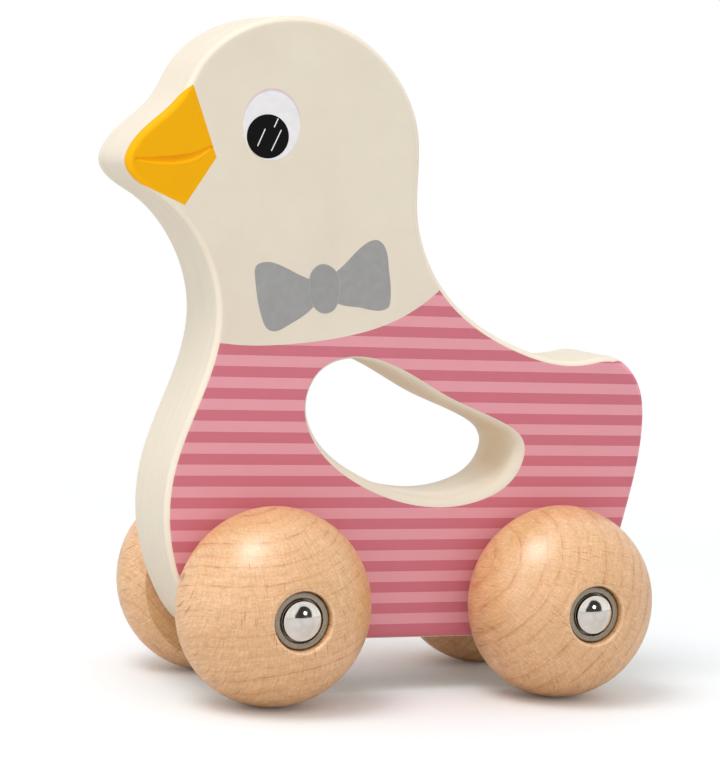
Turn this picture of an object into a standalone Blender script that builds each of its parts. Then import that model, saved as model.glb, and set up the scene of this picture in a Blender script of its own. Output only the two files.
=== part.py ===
"""Push-along wooden bird: a flat shaped board on four turned ball wheels.

The bird faces -X, its board lies in the XZ plane and the floor is at z = 0.
Left is the bird's own left, at -Y. All sizes are in metres.
"""
import math

import bmesh
import bpy
import numpy as np
from mathutils import Vector

# Board
BOARD_LENGTH = 0.1036        # beak to tail
BOARD_HEIGHT = 0.1097        # straight lower edge to the top of the head
BOARD_THICKNESS = 0.0170
EDGE_ROUND = 0.0012          # radius along the outside edge
GRIP_LENGTH = 0.0441         # hole where it meets the faces
GRIP_HEIGHT = 0.0259
GRIP_MIDDLE_X = 0.0050
GRIP_ABOVE_EDGE = 0.0252     # lowest point of the hole above the board's lower edge
GRIP_RIM_ROUND = 0.0020      # radius where the grip hole meets the faces
OUTLINE_STEP = 0.0030        # longest straight piece of a curved outline

# Outside edge in hundredths of the board's length and height, clockwise seen from the left:
# up the breast, round the beak, over the head, down the back and round the tail.
BOARD_OUTLINE = [
    (23.6, 0.0), (20.4, 0.2), (13.7, 6.6), (10.2, 28.0), (17.1, 53.0), (5.8, 70.7), (1.6, 73.2),
    (0.0, 75.6), (0.9, 78.6), (8.7, 86.4), (11.3, 91.1), (16.2, 96.1), (36.3, 99.0), (52.1, 83.4),
    (53.1, 69.1), (59.1, 57.3), (74.4, 48.3), (87.4, 46.7), (92.6, 47.3), (98.6, 42.8), (100.0, 36.9),
    (95.4, 10.4), (93.9, 3.9), (91.5, 1.0), (88.3, 0.0),
]

# Mouth line carved into both faces of the beak, in the same hundredths
MOUTH_LINE = [(1.4, 76.2), (6.0, 76.2), (9.7, 76.6), (13.0, 77.8), (14.7, 78.6)]

# Grip hole in hundredths of its own length and height, drawn the same way from its front end
GRIP_OUTLINE = [
    (0.0, 67.2), (6.3, 90.7), (23.1, 100.0), (64.6, 73.0), (88.4, 56.8), (100.0, 41.7), (97.3, 17.4),
    (83.2, 0.0), (21.8, 13.5), (5.9, 36.7),
]

# Tool that carves the mouth line
MOUTH_DEPTH = 0.0005
MOUTH_TOOL_RADIUS = 0.0008
MOUTH_END_SHARE = 0.35       # how much of its depth the line keeps at its ends

# Axles and wheels
FRONT_AXLE_INSET = 0.0280    # behind the tip of the beak
REAR_AXLE_INSET = 0.0196     # ahead of the end of the tail
AXLE_ABOVE_EDGE = 0.0077     # axle holes above the board's lower edge
AXLE_DIAMETER = 0.0040
AXLE_CHAMFER = 0.0003
AXLE_SHY = 0.0001            # rod's end below the top of the caps' skirts
AXLE_CLEARANCE = 0.00025     # round the rod in wood, washers and spacers
BORE_CHAMFER = 0.0004
WHEEL_DIAMETER = 0.0350
WHEEL_CROWN = 0.0155         # widest part of the wheel to the top of its dome, before the counterbore
WHEEL_INNER_WIDTH = 0.0060   # widest part to the flat hub face
WHEEL_INNER_ROUND = 0.0028   # how far the inner side curves in before it is flat
RUN_GAP = 0.00025            # between faces that turn past each other
SEAT_GAP = 0.00025           # between faces that rest on each other

# Hardware at each axle end
RING_CHAMFER = 0.00015       # outer edges of washers and spacers
SPACER_THICKNESS = 0.0005
SPACER_RIM = 0.0030          # width of the ring
CLIP_THICKNESS = 0.0003
CLIP_WIDTH = 0.0006
CLIP_DISH = 0.0004           # rise of the teeth above the ring
CLIP_TEETH = 6
CLIP_FIT = 0.00015           # round the rod and inside the cap
CAP_WALL = 0.0005
CAP_SKIRT = 0.0013           # straight wall below the dome
CAP_DOME_HEIGHT = 0.0008     # top of the skirt to the top of the dome
CAP_FLANGE = 0.00015         # width of the foot round the skirt
WASHER_THICKNESS = 0.0005    # under the cap's foot
WASHER_LIP_HEIGHT = 0.0012   # raised ring round the cap's foot, above the rest of the washer
WASHER_LIP_WIDTH = 0.0012
WASHER_LIP_CLEARANCE = 0.00025
COUNTERBORE_CLEARANCE = 0.00035
COUNTERBORE_DEPTH = 0.0032
COUNTERBORE_CHAMFER = 0.0003

# Facets
WHEEL_SEGMENTS = 36
WHEEL_RINGS = 9              # along the outer side
WHEEL_INNER_RINGS = 5
SMALL_SEGMENTS = 20
BORE_SEGMENTS = 24
DOME_RINGS = 5
ROUND_STEPS = 3
GRIP_ROUND_STEPS = 4
MOUTH_SIDES = 10
CLIP_TOOTH_POINTS = 4
MERGE_DISTANCE = 1e-6        # points closer than this are one point

# Sizes that follow from the ones above
AXLE_RADIUS = AXLE_DIAMETER / 2
AXLE_BORE_RADIUS = AXLE_RADIUS + AXLE_CLEARANCE
WHEEL_RADIUS = WHEEL_DIAMETER / 2
AXLE_HEIGHT = WHEEL_RADIUS
GROUND_CLEARANCE = AXLE_HEIGHT - AXLE_ABOVE_EDGE
AXLE_X = {"front": FRONT_AXLE_INSET - BOARD_LENGTH / 2, "rear": BOARD_LENGTH / 2 - REAR_AXLE_INSET}
CLIP_INNER_RADIUS = AXLE_RADIUS + CLIP_FIT
CLIP_OUTER_RADIUS = CLIP_INNER_RADIUS + CLIP_WIDTH
CAP_INNER_RADIUS = CLIP_OUTER_RADIUS + CLIP_FIT
CAP_RADIUS = CAP_INNER_RADIUS + CAP_WALL
CAP_FOOT_RADIUS = CAP_RADIUS + CAP_FLANGE
WASHER_LIP_RADIUS = CAP_FOOT_RADIUS + WASHER_LIP_CLEARANCE
WASHER_RADIUS = WASHER_LIP_RADIUS + WASHER_LIP_WIDTH
COUNTERBORE_RADIUS = WASHER_RADIUS + COUNTERBORE_CLEARANCE
SPACER_RADIUS = AXLE_BORE_RADIUS + SPACER_RIM

# Stations along an axle, measured outwards from the middle of the board
BOARD_FACE = BOARD_THICKNESS / 2
SPACER_START = BOARD_FACE + RUN_GAP
HUB_FACE = SPACER_START + SPACER_THICKNESS + RUN_GAP
TREAD = HUB_FACE + WHEEL_INNER_WIDTH
COUNTERBORE_RIM = TREAD + WHEEL_CROWN * math.sqrt(1 - (COUNTERBORE_RADIUS / WHEEL_RADIUS) ** 2)
COUNTERBORE_FLOOR = COUNTERBORE_RIM - COUNTERBORE_DEPTH
WASHER_START = COUNTERBORE_FLOOR + RUN_GAP
CAP_START = WASHER_START + WASHER_THICKNESS + SEAT_GAP
CLIP_START = CAP_START + SEAT_GAP
AXLE_END = CAP_START + CAP_SKIRT - AXLE_SHY

# Which way each side of the toy lies along Y
SIDES = {"left": -1, "right": 1}


def clear_scene():
    """Remove whatever objects the file opened with."""
    for existing in list(bpy.data.objects):
        bpy.data.objects.remove(existing, do_unlink=True)


def principled(name, rgb, roughness, metallic=0.0):
    """Make a plain material in one linear colour."""
    material = bpy.data.materials.new(name)
    material.use_nodes = True
    shader = material.node_tree.nodes["Principled BSDF"]
    shader.inputs["Base Color"].default_value = (*rgb, 1.0)
    shader.inputs["Roughness"].default_value = roughness
    shader.inputs["Metallic"].default_value = metallic
    return material


def make_mesh(name, bm, sharp_angle=math.radians(35)):
    """Turn a bmesh into a smooth shaded mesh with crisp edges."""
    bmesh.ops.recalc_face_normals(bm, faces=bm.faces)
    mesh = bpy.data.meshes.new(name)
    bm.to_mesh(mesh)
    bm.free()
    mesh.shade_smooth()
    mesh.set_sharp_from_angle(angle=sharp_angle)
    return mesh


def add_object(name, mesh, material, location=(0, 0, 0), turn_z=0.0, parent=None):
    """Place a mesh as a named object with its own material."""
    thing = bpy.data.objects.new(name, mesh)
    bpy.context.collection.objects.link(thing)
    thing.location = location
    thing.rotation_euler = (0, 0, turn_z)
    thing.parent = parent
    if not mesh.materials:
        mesh.materials.append(material)
    return thing


def spline_slopes(points, lengths, closed):
    """Slopes at the points of the smoothest cubic curve through them.

    An open curve starts and ends along X, so that it runs into a straight edge.
    """
    count = len(points)
    system = np.zeros((count, count))
    right_side = np.zeros((count, 2))
    for i in range(count):
        before, after = (i - 1) % count, (i + 1) % count
        if not closed and i in (0, count - 1):
            system[i, i] = 1
            right_side[i] = (np.sign(points[1, 0] - points[0, 0]), 0)
            continue
        system[i, before] = 1 / lengths[before]
        system[i, i] = 2 / lengths[before] + 2 / lengths[i]
        system[i, after] = 1 / lengths[i]
        right_side[i] = 3 * ((points[i] - points[before]) / lengths[before] ** 2
                             + (points[after] - points[i]) / lengths[i] ** 2)
    return np.linalg.solve(system, right_side)


def on_board(hundredths):
    """Points drawn in hundredths of the board's length and height, as (x, z)."""
    return np.array(hundredths) / 100 * (BOARD_LENGTH, BOARD_HEIGHT) + (-BOARD_LENGTH / 2, GROUND_CLEARANCE)


def on_grip(hundredths):
    """Points drawn in hundredths of the grip hole's length and height, as (x, z)."""
    corner = (GRIP_MIDDLE_X - GRIP_LENGTH / 2, GROUND_CLEARANCE + GRIP_ABOVE_EDGE)
    return np.array(hundredths) / 100 * (GRIP_LENGTH, GRIP_HEIGHT) + corner


def smooth_curve(points, closed):
    """Points along a smooth curve through the given ones, no further apart than the outline step."""
    lengths = np.linalg.norm(np.roll(points, -1, axis=0) - points, axis=1)
    slopes = spline_slopes(points, lengths, closed)
    curve = []
    for i in range(len(points) if closed else len(points) - 1):
        j = (i + 1) % len(points)
        steps = 1 + math.ceil(lengths[i] / OUTLINE_STEP)
        for t in np.arange(steps) / steps:
            curve.append((2 * t**3 - 3 * t**2 + 1) * points[i] + (3 * t**2 - 2 * t**3) * points[j]
                         + lengths[i] * ((t**3 - 2 * t**2 + t) * slopes[i] + (t**3 - t**2) * slopes[j]))
    if not closed:
        curve.append(points[-1])
    return np.array(curve)


def offset_loop(loop, distance):
    """Move a clockwise loop outwards by a distance, square to its run."""
    run = np.roll(loop, -1, axis=0) - np.roll(loop, 1, axis=0)
    run /= np.linalg.norm(run, axis=1)[:, None]
    return loop + distance * np.stack([-run[:, 1], run[:, 0]], axis=1)


def circle_loop(centre_x, centre_z, radius):
    """A clockwise circle."""
    angles = -2 * math.pi * np.arange(BORE_SEGMENTS) / BORE_SEGMENTS
    return np.stack([centre_x + radius * np.cos(angles), centre_z + radius * np.sin(angles)], axis=1)


def rounded_levels(radius, steps):
    """(inset, y) from the left face to the right face over two quarter rounds."""
    quarter = [math.pi / 2 * i / steps for i in range(steps + 1)]
    left = [(radius * (1 - math.sin(a)), -BOARD_FACE + radius * (1 - math.cos(a))) for a in quarter]
    return left + [(inset, -y) for inset, y in reversed(left)]


def wall(bm, loops):
    """Skin a stack of loops with quads and return the first and last loop's edges."""
    rings = [[bm.verts.new(point) for point in loop] for loop in loops]
    for near, far in zip(rings, rings[1:]):
        for i in range(len(near)):
            j = (i + 1) % len(near)
            bm.faces.new((near[i], near[j], far[j], far[i]))
    return [
        [bm.edges.get((ring[i], ring[(i + 1) % len(ring)])) for i in range(len(ring))]
        for ring in (rings[0], rings[-1])
    ]


def at_level(loop, y):
    """Lift a flat (x, z) loop to a level along Y."""
    return [(x, y, z) for x, z in loop]


def board_mesh():
    """The board with its rounded outside edge, its grip hole and its two axle holes."""
    bm = bmesh.new()
    edge = smooth_curve(on_board(BOARD_OUTLINE), closed=False)
    grip = smooth_curve(on_grip(GRIP_OUTLINE), closed=True)
    walls = [
        wall(bm, [at_level(offset_loop(edge, -inset), y)
                  for inset, y in rounded_levels(EDGE_ROUND, ROUND_STEPS)]),
        wall(bm, [at_level(offset_loop(grip, inset - GRIP_RIM_ROUND), y)
                  for inset, y in rounded_levels(GRIP_RIM_ROUND, GRIP_ROUND_STEPS)]),
    ]
    for x in AXLE_X.values():
        levels = [(BORE_CHAMFER, -BOARD_FACE), (0, BORE_CHAMFER - BOARD_FACE)]
        levels += [(flare, -y) for flare, y in reversed(levels)]
        walls.append(wall(bm, [at_level(circle_loop(x, AXLE_HEIGHT, AXLE_BORE_RADIUS + flare), y)
                               for flare, y in levels]))
    for face in (0, 1):
        bmesh.ops.triangle_fill(bm, edges=[e for w in walls for e in w[face]], use_beauty=True)
    return make_mesh("body", bm)


def mouth_tool(side):
    """A tapering rod along the mouth line that carves it into one face of the beak."""
    line = smooth_curve(on_board(MOUTH_LINE), closed=False)
    run = np.gradient(line, axis=0)
    angles = [2 * math.pi * k / MOUTH_SIDES for k in range(MOUTH_SIDES)]
    outward = Vector((0, 1, 0))
    bm = bmesh.new()
    rings = []
    for i, (x, z) in enumerate(line):
        middle = math.sin(math.pi * i / (len(line) - 1))
        taper = MOUTH_END_SHARE + (1 - MOUTH_END_SHARE) * middle
        radius = MOUTH_TOOL_RADIUS * taper
        centre = Vector((x, side * (BOARD_FACE + radius - MOUTH_DEPTH * taper), z))
        across = Vector((run[i, 0], 0, run[i, 1])).normalized().cross(outward)
        rings.append([bm.verts.new(centre + radius * (math.cos(a) * across + math.sin(a) * outward))
                      for a in angles])
    for near, far in zip(rings, rings[1:]):
        for k in range(MOUTH_SIDES):
            bm.faces.new((near[k], near[k - 1], far[k - 1], far[k]))
    bm.faces.new(rings[0])
    bm.faces.new(rings[-1])
    return make_mesh("mouth_tool", bm)


def turned_mesh(name, profile, segments):
    """Turn a closed (radius, y) profile round the Y axis."""
    bm = bmesh.new()
    verts = [bm.verts.new((radius, y, 0)) for radius, y in profile]
    edges = [bm.edges.new((verts[i], verts[(i + 1) % len(verts)])) for i in range(len(verts))]
    bmesh.ops.spin(bm, geom=verts + edges, cent=(0, 0, 0), axis=(0, 1, 0), angle=2 * math.pi,
                   steps=segments, use_merge=True)
    bmesh.ops.remove_doubles(bm, verts=bm.verts, dist=MERGE_DISTANCE)
    on_axis = [e for e in bm.edges if all(math.hypot(v.co.x, v.co.z) < MERGE_DISTANCE for v in e.verts)]
    bmesh.ops.delete(bm, geom=on_axis, context="EDGES")
    return make_mesh(name, bm)


def crown(height, start, end, rings):
    """(radius, y) along an elliptic wheel side, between two heights above its widest part."""
    low, high = math.asin(start / height), math.asin(end / height)
    angles = [low + (high - low) * i / rings for i in range(rings + 1)]
    return [(WHEEL_RADIUS * math.cos(a), height * math.sin(a)) for a in angles]


def wheel_mesh():
    """A turned wheel about its widest part, with its dome and counterbore towards +Y."""
    rim, floor = COUNTERBORE_RIM - TREAD, COUNTERBORE_FLOOR - TREAD
    hub_share = 1 - WHEEL_INNER_ROUND / WHEEL_RADIUS
    inner_crown = WHEEL_INNER_WIDTH / math.sqrt(1 - hub_share**2)
    inner_side = crown(inner_crown, WHEEL_INNER_WIDTH, 0, WHEEL_INNER_RINGS)
    profile = [(AXLE_BORE_RADIUS, floor), (AXLE_BORE_RADIUS, -WHEEL_INNER_WIDTH)]
    profile += [(radius, -y) for radius, y in inner_side]
    profile += crown(WHEEL_CROWN, 0, rim - COUNTERBORE_CHAMFER / 2, WHEEL_RINGS)[1:]
    profile += [(COUNTERBORE_RADIUS, rim - COUNTERBORE_CHAMFER), (COUNTERBORE_RADIUS, floor)]
    return turned_mesh("wheel", profile, WHEEL_SEGMENTS)


def axle_mesh():
    """A plain rod with chamfered ends that reaches into both caps."""
    shoulder = AXLE_END - AXLE_CHAMFER
    tip = AXLE_RADIUS - AXLE_CHAMFER
    profile = [(0, AXLE_END), (tip, AXLE_END), (AXLE_RADIUS, shoulder), (AXLE_RADIUS, -shoulder),
               (tip, -AXLE_END), (0, -AXLE_END)]
    return turned_mesh("axle", profile, SMALL_SEGMENTS)


def ring_profile(outer, height):
    """(radius, y) up the outside of a ring from y = 0, with chamfered edges."""
    land = outer - RING_CHAMFER
    return [(land, 0), (outer, RING_CHAMFER), (outer, height - RING_CHAMFER), (land, height)]


def spacer_mesh():
    """A flat ring for the axle from y = 0."""
    profile = [(AXLE_BORE_RADIUS, 0), *ring_profile(SPACER_RADIUS, SPACER_THICKNESS),
               (AXLE_BORE_RADIUS, SPACER_THICKNESS)]
    return turned_mesh("spacer", profile, SMALL_SEGMENTS)


def washer_mesh():
    """A cupped washer from y = 0, its lip raised round the cap's foot."""
    top = WASHER_THICKNESS + WASHER_LIP_HEIGHT
    profile = [(AXLE_BORE_RADIUS, 0), *ring_profile(WASHER_RADIUS, top), (WASHER_LIP_RADIUS, top),
               (WASHER_LIP_RADIUS, WASHER_THICKNESS), (AXLE_BORE_RADIUS, WASHER_THICKNESS)]
    return turned_mesh("washer", profile, SMALL_SEGMENTS)


def dome(radius, height):
    """(radius, y) from the edge of a low round dome to its top, above the cap's skirt."""
    ball = (radius**2 + height**2) / (2 * height)
    edge = math.asin(radius / ball)
    angles = [edge * (1 - i / DOME_RINGS) for i in range(DOME_RINGS + 1)]
    return [(ball * math.sin(a), CAP_SKIRT + height - ball * (1 - math.cos(a))) for a in angles]


def cap_mesh():
    """A pressed cap from y = 0: a flanged skirt under a low dome, hollow and open below."""
    flange = [(CAP_INNER_RADIUS, 0), (CAP_FOOT_RADIUS, 0), (CAP_FOOT_RADIUS, CAP_WALL),
              (CAP_RADIUS, CAP_WALL)]
    outside = dome(CAP_RADIUS, CAP_DOME_HEIGHT)
    inside = dome(CAP_INNER_RADIUS, CAP_DOME_HEIGHT - CAP_WALL)
    return turned_mesh("cap", flange + outside + inside[::-1], SMALL_SEGMENTS)


def clip_loop(rise, height, radii):
    """One loop of the clip at a height, with its teeth risen and at the first of two radii."""
    loop = []
    for k in range(CLIP_TEETH * CLIP_TOOTH_POINTS):
        angle = 2 * math.pi * k / (CLIP_TEETH * CLIP_TOOTH_POINTS)
        gap = k % CLIP_TOOTH_POINTS >= CLIP_TOOTH_POINTS / 2
        y = height + (rise / 2 if gap else rise)
        loop.append((radii[gap] * math.cos(angle), y, radii[gap] * math.sin(angle)))
    return loop


def clip_mesh():
    """A toothed spring ring from y = 0, its teeth dished towards the dome."""
    outside = (CLIP_OUTER_RADIUS, CLIP_OUTER_RADIUS)
    teeth = (CLIP_INNER_RADIUS, CLIP_INNER_RADIUS + CLIP_WIDTH / 2)
    stack = [clip_loop(0, 0, outside), clip_loop(0, CLIP_THICKNESS, outside),
             clip_loop(CLIP_DISH, CLIP_THICKNESS, teeth), clip_loop(CLIP_DISH, 0, teeth)]
    bm = bmesh.new()
    wall(bm, [*stack, stack[0]])
    bmesh.ops.remove_doubles(bm, verts=bm.verts, dist=MERGE_DISTANCE)
    return make_mesh("clip", bm)


def add_body():
    """The board, with the mouth line carved into both faces of its beak."""
    paint = principled("cream_paint", (0.77, 0.70, 0.58), 0.45)
    body = add_object("body", board_mesh(), paint)
    for side_name, side in SIDES.items():
        tool = add_object(f"mouth_tool_{side_name}", mouth_tool(side), paint)
        tool.hide_render = True
        tool.display_type = "WIRE"
        cut = body.modifiers.new(f"mouth_line_{side_name}", "BOOLEAN")
        cut.operation = "DIFFERENCE"
        cut.solver = "EXACT"
        cut.object = tool


def axle_end_pieces():
    """What sits at each axle end: the station, mesh and material of every piece."""
    return {
        "spacer": (SPACER_START, spacer_mesh(), principled("spacer_steel", (0.50, 0.50, 0.50), 0.40, 1.0)),
        "wheel": (TREAD, wheel_mesh(), principled("wheel_beech", (0.74, 0.47, 0.27), 0.40)),
        "washer": (WASHER_START, washer_mesh(), principled("washer_steel", (0.28, 0.26, 0.24), 0.35, 1.0)),
        "cap": (CAP_START, cap_mesh(), principled("cap_steel", (0.75, 0.75, 0.74), 0.12, 1.0)),
        "clip": (CLIP_START, clip_mesh(), principled("clip_steel", (0.35, 0.36, 0.38), 0.35, 1.0)),
    }


def add_axle_sets():
    """Both axles with everything they carry, each set hung on an empty on its axle's line."""
    rod, rod_steel = axle_mesh(), principled("axle_steel", (0.62, 0.62, 0.62), 0.30, 1.0)
    pieces = axle_end_pieces()
    for end, x in AXLE_X.items():
        line = bpy.data.objects.new(f"{end}_axle_line", None)
        bpy.context.collection.objects.link(line)
        line.location = (x, 0, AXLE_HEIGHT)
        add_object(f"{end}_axle", rod, rod_steel, parent=line)
        for side_name, side in SIDES.items():
            turn = 0 if side > 0 else math.pi
            for piece, (station, mesh, material) in pieces.items():
                add_object(f"{end}_{side_name}_{piece}", mesh, material, (0, side * station, 0), turn, line)


def main():
    clear_scene()
    add_body()
    add_axle_sets()


main()
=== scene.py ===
"""The push-along bird as it looks: a painted, printed board on turned beech wheels with steel axle caps.

The bird faces -X and shows its left side, at -Y, to the camera. All sizes are in metres.
"""
import math

import bmesh
import bpy
import numpy as np
from mathutils import Matrix, Vector


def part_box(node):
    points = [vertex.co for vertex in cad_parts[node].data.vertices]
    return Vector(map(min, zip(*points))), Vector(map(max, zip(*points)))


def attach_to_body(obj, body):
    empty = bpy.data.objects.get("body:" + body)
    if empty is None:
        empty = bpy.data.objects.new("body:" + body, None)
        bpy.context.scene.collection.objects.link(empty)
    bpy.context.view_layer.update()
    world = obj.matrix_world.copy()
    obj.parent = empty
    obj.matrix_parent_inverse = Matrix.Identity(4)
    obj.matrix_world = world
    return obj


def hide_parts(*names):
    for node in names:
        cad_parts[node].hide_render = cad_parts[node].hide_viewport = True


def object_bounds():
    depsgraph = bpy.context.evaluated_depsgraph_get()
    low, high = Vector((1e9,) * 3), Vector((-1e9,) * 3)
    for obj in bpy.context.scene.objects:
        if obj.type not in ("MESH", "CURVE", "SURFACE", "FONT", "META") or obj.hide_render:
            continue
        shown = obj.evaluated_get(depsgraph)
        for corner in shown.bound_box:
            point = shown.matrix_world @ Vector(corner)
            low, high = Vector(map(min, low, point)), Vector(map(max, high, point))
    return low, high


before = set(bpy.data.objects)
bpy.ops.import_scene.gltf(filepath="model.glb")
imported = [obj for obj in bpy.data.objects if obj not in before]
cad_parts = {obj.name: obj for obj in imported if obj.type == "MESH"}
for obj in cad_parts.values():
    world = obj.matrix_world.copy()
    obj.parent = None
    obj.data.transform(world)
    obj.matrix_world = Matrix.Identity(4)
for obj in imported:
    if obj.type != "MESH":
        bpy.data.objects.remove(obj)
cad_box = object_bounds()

# The board, from the model and with the edge that its solid was drawn with
BOARD_LOW, BOARD_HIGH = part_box("body")
BOARD_FACE = BOARD_HIGH.y
EDGE_ROUND = 0.0012
GRIP_LENGTH, GRIP_HEIGHT = 0.0441, 0.0259
GRIP_MIDDLE_X = 0.0050
GRIP_LOWEST = BOARD_LOW.z + 0.0252
GRIP_RIM_ROUNDS = (0.0005, 0.0020)    # crisp at the hole's upper front, and as in the solid elsewhere
GRIP_CRISP_WAY = (-0.8, 0.6)          # (x, z) from the hole's middle to the crisp part of its rim
GRIP_CRISP_SHARE = 0.7
GRIP_ZONE = (GRIP_LENGTH / 1.7, GRIP_HEIGHT / 1.53)    # half axes of an ellipse round it and its rim
FACE_MARGIN = 0.0004         # flat strip beside each rounded edge, so that it shades evenly
OUTLINE_STEP = 0.0007
ROUND_STEPS = 7
BORE_CHAMFER = 0.0004
BORE_SEGMENTS = 48

# Outside edge and mouth line in hundredths of the board's size, the grip hole in those of its own
BOARD_OUTLINE = [
    (23.6, 0.0), (20.4, 0.2), (13.7, 6.6), (10.2, 28.0), (17.1, 53.0), (5.8, 70.7), (1.6, 73.2),
    (0.0, 75.6), (0.9, 78.6), (8.7, 86.4), (11.3, 91.1), (16.2, 96.1), (36.3, 99.0), (52.1, 83.4),
    (53.1, 69.1), (59.1, 57.3), (74.4, 48.3), (87.4, 46.7), (92.6, 47.3), (98.6, 42.8), (100.0, 36.9),
    (95.4, 10.4), (93.9, 3.9), (91.5, 1.0), (88.3, 0.0),
]
MOUTH_LINE = [(1.4, 76.2), (6.0, 76.2), (9.7, 76.6), (13.0, 77.8), (14.7, 78.6)]
GRIP_OUTLINE = [
    (0.0, 67.2), (6.3, 90.7), (23.1, 100.0), (64.6, 73.0), (88.4, 56.8), (100.0, 41.7), (97.3, 17.4),
    (83.2, 0.0), (21.8, 13.5), (5.9, 36.7),
]
MOUTH_DEPTH = 0.0007         # a little more than in the solid
MOUTH_TOOL_RADIUS = 0.0008
MOUTH_END_SHARE = 0.35
MOUTH_LEAN = 0.7             # its bottom lies towards its upper side
MOUTH_SIDES = 24

# Print on both faces, (x, z) above the floor
STRIPE_WIDTH = 0.00192
STRIPE_START = 0.0605        # a dark stripe stands on this height
LAST_STRIPE = 0.0107         # the dark stripe at this height runs on over the lower edge
NECKLINE = (0.06743, 0.4851, 21.02, 602.2, 8315.0)    # its height, by rising powers of x
PRINT_WRAP = 0.00003         # how far the print runs over the rounded edges
TAIL_WRAP = 0.0009           # and where it runs over the end of the tail
TAIL_WRAP_X = (0.0440, 0.0475)
LOWER_WRAP = 0.0005          # and over the lower edge
LOWER_WRAP_Z = (0.0120, 0.0108)
BEAK_BORDER = [(-0.0504, 0.0898), (-0.0411, 0.0860), (-0.0358, 0.0944), (-0.0407, 0.1066)]
BEAK_WRAP = 0.0015           # round the tip of the beak on the left face
MOUTH_WRAP = 0.0009          # into the mouth line on the right face
BEAK_WRAP_Z = ((0.0860, 0.0915), (0.1068, 0.1035))    # from none to all of it, below and above the tip
GRIP_LIGHT_SHADE_DEPTH = (0.0005, 0.0060)    # how far into the grip hole the painted light and shade start and are full
GRIP_LIGHT_SHADE_Z = (0.0365, 0.0410)        # from painted light, a paler cream, on its bottom to painted shade, a tanner cream, above
EDGE_HIGHLIGHT_BAND = (0.0, 0.00012, 0.0004, 0.0011)    # painted highlight along the rounded edge, below the face: its start, its full part and its end
EDGE_HIGHLIGHT_TONE = 1.12         # brightness of the painted highlight there
INK_HEIGHT = 0.00002         # each layer of ink on the one below
INK_STEP = 0.0004
EYE_SEGMENTS = 96
EYE_CENTRE, EYE_RADII = (-0.0260, 0.1004), (0.0053, 0.0060)
EYELID_RISE = 0.00042
PUPIL_CENTRE, PUPIL_RADII = (-0.0266, 0.0985), (0.0039, 0.0038)
GLINT_WIDTH, GLINT_END_POINTS = 0.00018, 7
GLINTS = [
    ((-0.0255, 0.1002), (-0.0249, 0.1016)), ((-0.0284, 0.0968), (-0.0272, 0.0997)),
    ((-0.0258, 0.0961), (-0.0242, 0.0997)),
]
BOW_LOBES = {
    "front": [(-0.0148, 0.0730), (-0.0173, 0.0741), (-0.0234, 0.0765), (-0.0259, 0.0768), (-0.0275, 0.0760),
              (-0.0276, 0.0743), (-0.0257, 0.0666), (-0.0249, 0.0653), (-0.0238, 0.0648), (-0.0209, 0.0659),
              (-0.0162, 0.0694)],
    "rear": [(-0.0148, 0.0730), (-0.0124, 0.0755), (-0.0071, 0.0806), (-0.0058, 0.0813), (-0.0047, 0.0814),
             (-0.0037, 0.0808), (-0.0023, 0.0768), (-0.0016, 0.0707), (-0.0019, 0.0696), (-0.0028, 0.0691),
             (-0.0075, 0.0694), (-0.0117, 0.0700)],
}
BOW_KNOT = [
    (-0.0152, 0.0767), (-0.0124, 0.0755), (-0.0116, 0.0717), (-0.0126, 0.0688), (-0.0145, 0.0683),
    (-0.0162, 0.0694), (-0.0172, 0.0729), (-0.0171, 0.0750),
]
KNOT_LINE_WIDTH = 0.00012

# Wheels and the hardware at their axle ends, with the sizes that their solids were turned to
AXLE_HOLE_RADIUS = 0.00225
WHEEL_INNER_WIDTH = 0.0060
WHEEL_INNER_ROUND = 0.0028
COUNTERBORE_RADIUS = 0.00515     # 0.2 mm closer to the washer than in the solid
COUNTERBORE_DEPTH = 0.00305
COUNTERBORE_ROUND = 0.0006
RIM_HIGHLIGHT_RADIUS = COUNTERBORE_RADIUS + 0.6 * COUNTERBORE_ROUND    # radius of the painted highlight, a pale ring, on its edge
RIM_HIGHLIGHT_WIDTH, RIM_HIGHLIGHT_SHARE = 0.00022, 0.5
CAP_WALL = 0.0005
CAP_SKIRT = 0.0013
CAP_FLANGE = 0.00015
WASHER_THICKNESS = 0.0005
WASHER_LIP_WIDTH = 0.0012
SMALL_ROUND = 0.00015
LIP_ROUND = 0.00035
WHEEL_SEGMENTS, WHEEL_RINGS = 128, 40
CAP_SEGMENTS, CAP_RINGS = 72, 18
MERGE_DISTANCE = 1e-6            # closes the seam of a turned mesh
SHARP_ANGLE = math.radians(40)   # edges of turned pieces that bend more stay crisp
FOOT_SHADE_FADE = 0.8                 # share of the painted shade's height round a cap's foot that is fully dark
ENDS, SIDES = ("front", "rear"), {"left": -1, "right": 1}

# Where each wheel's growth rings centre, (x, z) from its axle, and how far apart they lie
PITH = {
    "front_left": ((-0.008, 0.033), 0.0019), "rear_left": ((-0.032, 0.014), 0.0029),
    "front_right": ((0.021, 0.027), 0.0022), "rear_right": ((0.012, -0.031), 0.0018),
}
GRAIN_LEAN = math.radians(15)    # of the grain to the axle
RIPE_SHARE = 0.4                 # how far each year darkens before the next
WEAVE_RANGE = (0.36, 0.64)       # from pore to clear wood

# Camera, found from the stripes, the board's edges and the wheels in the picture
CAMERA_PLACE = (-0.1908, -0.4256, 0.0968)
CAMERA_AZIMUTH, CAMERA_ELEVATION, CAMERA_ROLL = (math.radians(a) for a in (-23.83, 5.09, 3.28))
CAMERA_LENS = 121.7          # millimetres, on a sensor 36 mm along the picture's long side

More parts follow.
